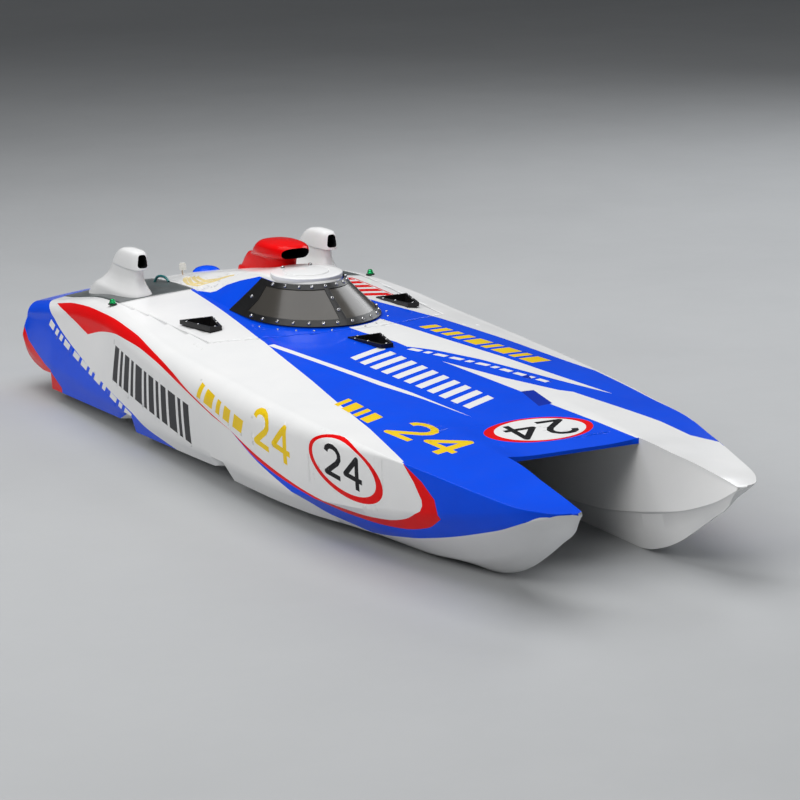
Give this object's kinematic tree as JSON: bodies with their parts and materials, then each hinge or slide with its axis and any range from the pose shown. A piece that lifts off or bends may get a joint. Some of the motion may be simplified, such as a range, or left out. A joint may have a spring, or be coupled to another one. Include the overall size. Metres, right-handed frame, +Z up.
{
  "type": "radio controlled racing boat",
  "caption": "Large twin-hull petrol-powered radio controlled racing boat with lift-off cowl, engines, drives, rudder, trim tabs and radio gear.",
  "frame": {"origin": "bottom centre of the bounding box, on the floor under the middle of the boat", "axes": "+Z up, bow towards -Y, starboard towards -X, port towards +X"},
  "size_m": [0.5434, 1.64, 0.295],
  "materials": {
    "anodised_green": "green anodised",
    "battery_wrap": "blue shrink wrap",
    "box_plastic": "dark grey",
    "brass": "drawn tube",
    "cast_aluminium": "cast and machined",
    "dark_panel": "satin dark grey",
    "duct_black": "gloss black moulding",
    "fan_black": "moulded black",
    "frame_black": "satin black with silver bolt heads",
    "gelcoat_white": "high-gloss gelcoat",
    "paint_blue": "high-gloss paint",
    "paint_red": "high-gloss paint",
    "plug_white": "white plug and lead",
    "servo_plastic": "black",
    "smoked_window": "smoked, glossy",
    "steel": "machined",
    "switch_red": "red",
    "tank_plastic": "translucent off-white",
    "teal_tube": "teal silicone tube",
    "washer_black": "black"
  },
  "bodies": {
    "hull": {"hull_shell": "gelcoat_white", "duct_centre": "duct_black", "knob_washer_port": "washer_black", "knob_washer_stbd": "washer_black", "engine_mount_port": "cast_aluminium", "engine_mount_stbd": "cast_aluminium", "crankcase_port": "cast_aluminium", "crankcase_stbd": "cast_aluminium", "cylinder_port": "cast_aluminium", "cylinder_stbd": "cast_aluminium", "fan_housing_port": "fan_black", "fan_housing_stbd": "fan_black", "carburettor_port": "cast_aluminium", "carburettor_stbd": "cast_aluminium", "stuffing_tube_port": "brass", "stuffing_tube_stbd": "brass", "drive_strut_port": "cast_aluminium", "drive_strut_stbd": "cast_aluminium", "exhaust_pipe_port": "steel", "exhaust_pipe_stbd": "steel", "fuel_tank_port": "tank_plastic", "fuel_tank_stbd": "tank_plastic", "radio_box": "box_plastic", "receiver_battery": "battery_wrap", "steering_servo": "servo_plastic", "throttle_servo": "servo_plastic", "rudder_bracket": "cast_aluminium"},
    "cowl": {"hatch_cowl": "gelcoat_white", "filler_dome": "paint_blue", "windshield_frame": "frame_black", "window_port": "smoked_window", "window_stbd": "smoked_window", "roof_disc": "gelcoat_white", "ram_scoop": "paint_red", "duct_port": "duct_black", "duct_stbd": "duct_black", "sensor_lead": "plug_white"},
    "cover_port": {"engine_cover_port": "dark_panel", "intake_scoop_port": "gelcoat_white"},
    "cover_stbd": {"engine_cover_stbd": "dark_panel", "intake_scoop_stbd": "gelcoat_white", "fuel_vent_tube": "teal_tube"},
    "knob_port": {"hatch_knob_port": "anodised_green"},
    "knob_stbd": {"hatch_knob_stbd": "anodised_green"},
    "crank_port": {"crank_coupler_port": "steel"},
    "crank_stbd": {"crank_coupler_stbd": "steel"},
    "prop_port": {"propeller_port": "steel"},
    "prop_stbd": {"propeller_stbd": "steel"},
    "rudder": {"rudder_blade": "steel"},
    "steering_arm": {"steering_arm": "servo_plastic"},
    "pushrod": {"steering_pushrod": "steel"},
    "throttle_arm": {"throttle_arm": "servo_plastic"},
    "lever_port": {"throttle_lever_port": "steel"},
    "lever_stbd": {"throttle_lever_stbd": "steel"},
    "tab_port": {"trim_tab_port": "steel"},
    "tab_stbd": {"trim_tab_stbd": "steel"},
    "radio_lid": {"radio_lid": "box_plastic"},
    "power_switch": {"power_switch": "switch_red"}
  },
  "joints": [
    {"name": "cowl_lift", "type": "slide", "parent": "hull", "child": "cowl", "axis": [0, 0, 1], "range_m": [0, 0.3]},
    {"name": "cover_port_lift", "type": "slide", "parent": "hull", "child": "cover_port", "axis": [0, 0, 1], "range_m": [0, 0.25]},
    {"name": "cover_stbd_lift", "type": "slide", "parent": "hull", "child": "cover_stbd", "axis": [0, 0, 1], "range_m": [0, 0.25]},
    {"name": "knob_port_turn", "type": "hinge", "parent": "hull", "child": "knob_port", "pos_m": [0.2262, 0.464, 0.19069], "axis": [0, 0, 1], "continuous": true},
    {"name": "knob_stbd_turn", "type": "hinge", "parent": "hull", "child": "knob_stbd", "pos_m": [-0.2262, 0.464, 0.19069], "axis": [0, 0, 1], "continuous": true},
    {"name": "crank_port_spin", "type": "hinge", "parent": "hull", "child": "crank_port", "pos_m": [0.166, 0.43, 0.078], "axis": [0, 1, 0], "continuous": true},
    {"name": "propeller_port_spin", "type": "hinge", "parent": "hull", "child": "prop_port", "pos_m": [0.166, 0.7455, 0.036], "axis": [0, 1, 0], "continuous": true},
    {"name": "crank_stbd_spin", "type": "hinge", "parent": "hull", "child": "crank_stbd", "pos_m": [-0.166, 0.43, 0.078], "axis": [0, 1, 0], "continuous": true},
    {"name": "propeller_stbd_spin", "type": "hinge", "parent": "hull", "child": "prop_stbd", "pos_m": [-0.166, 0.7455, 0.036], "axis": [0, 1, 0], "continuous": true},
    {"name": "rudder_turn", "type": "hinge", "parent": "hull", "child": "rudder", "pos_m": [0, 0.74, 0.138], "axis": [0, 0, 1], "range_deg": [-35, 35]},
    {"name": "steering_arm_turn", "type": "hinge", "parent": "hull", "child": "steering_arm", "pos_m": [0, 0.58, 0.138], "axis": [0, 0, 1], "range_deg": [-35, 35]},
    {"name": "pushrod_slide", "type": "slide", "parent": "hull", "child": "pushrod", "axis": [0, 1, 0], "range_m": [-0.0136, 0.0136]},
    {"name": "throttle_arm_turn", "type": "hinge", "parent": "hull", "child": "throttle_arm", "pos_m": [-0.03, 0.32, 0.138], "axis": [0, 0, 1], "range_deg": [0, 60]},
    {"name": "throttle_lever_port_turn", "type": "hinge", "parent": "hull", "child": "lever_port", "pos_m": [0.121, 0.385, 0.1064], "axis": [0, 0, -1], "range_deg": [0, 60]},
    {"name": "throttle_lever_stbd_turn", "type": "hinge", "parent": "hull", "child": "lever_stbd", "pos_m": [-0.121, 0.385, 0.1064], "axis": [0, 0, 1], "range_deg": [0, 60]},
    {"name": "trim_tab_port_tilt", "type": "hinge", "parent": "hull", "child": "tab_port", "pos_m": [0.218, 0.6722, 0.0262], "axis": [1, 0, 0], "range_deg": [-8, 8]},
    {"name": "trim_tab_stbd_tilt", "type": "hinge", "parent": "hull", "child": "tab_stbd", "pos_m": [-0.218, 0.6722, 0.0262], "axis": [1, 0, 0], "range_deg": [-8, 8]},
    {"name": "radio_lid_lift", "type": "slide", "parent": "hull", "child": "radio_lid", "axis": [0, 0, 1], "range_m": [0, 0.03]},
    {"name": "power_switch_slide", "type": "slide", "parent": "hull", "child": "power_switch", "axis": [1, 0, 0], "range_m": [0, 0.004]}
  ],
  "couplings": [
    {"joint": "propeller_port_spin", "follows": "crank_port_spin", "ratio": 1},
    {"joint": "propeller_stbd_spin", "follows": "crank_stbd_spin", "ratio": 1},
    {"joint": "steering_arm_turn", "follows": "rudder_turn", "ratio": 1},
    {"joint": "pushrod_slide", "follows": "rudder_turn", "m_per_rad": 0.022},
    {"joint": "throttle_lever_port_turn", "follows": "throttle_arm_turn", "ratio": 1},
    {"joint": "throttle_lever_stbd_turn", "follows": "throttle_arm_turn", "ratio": 1}
  ]
}
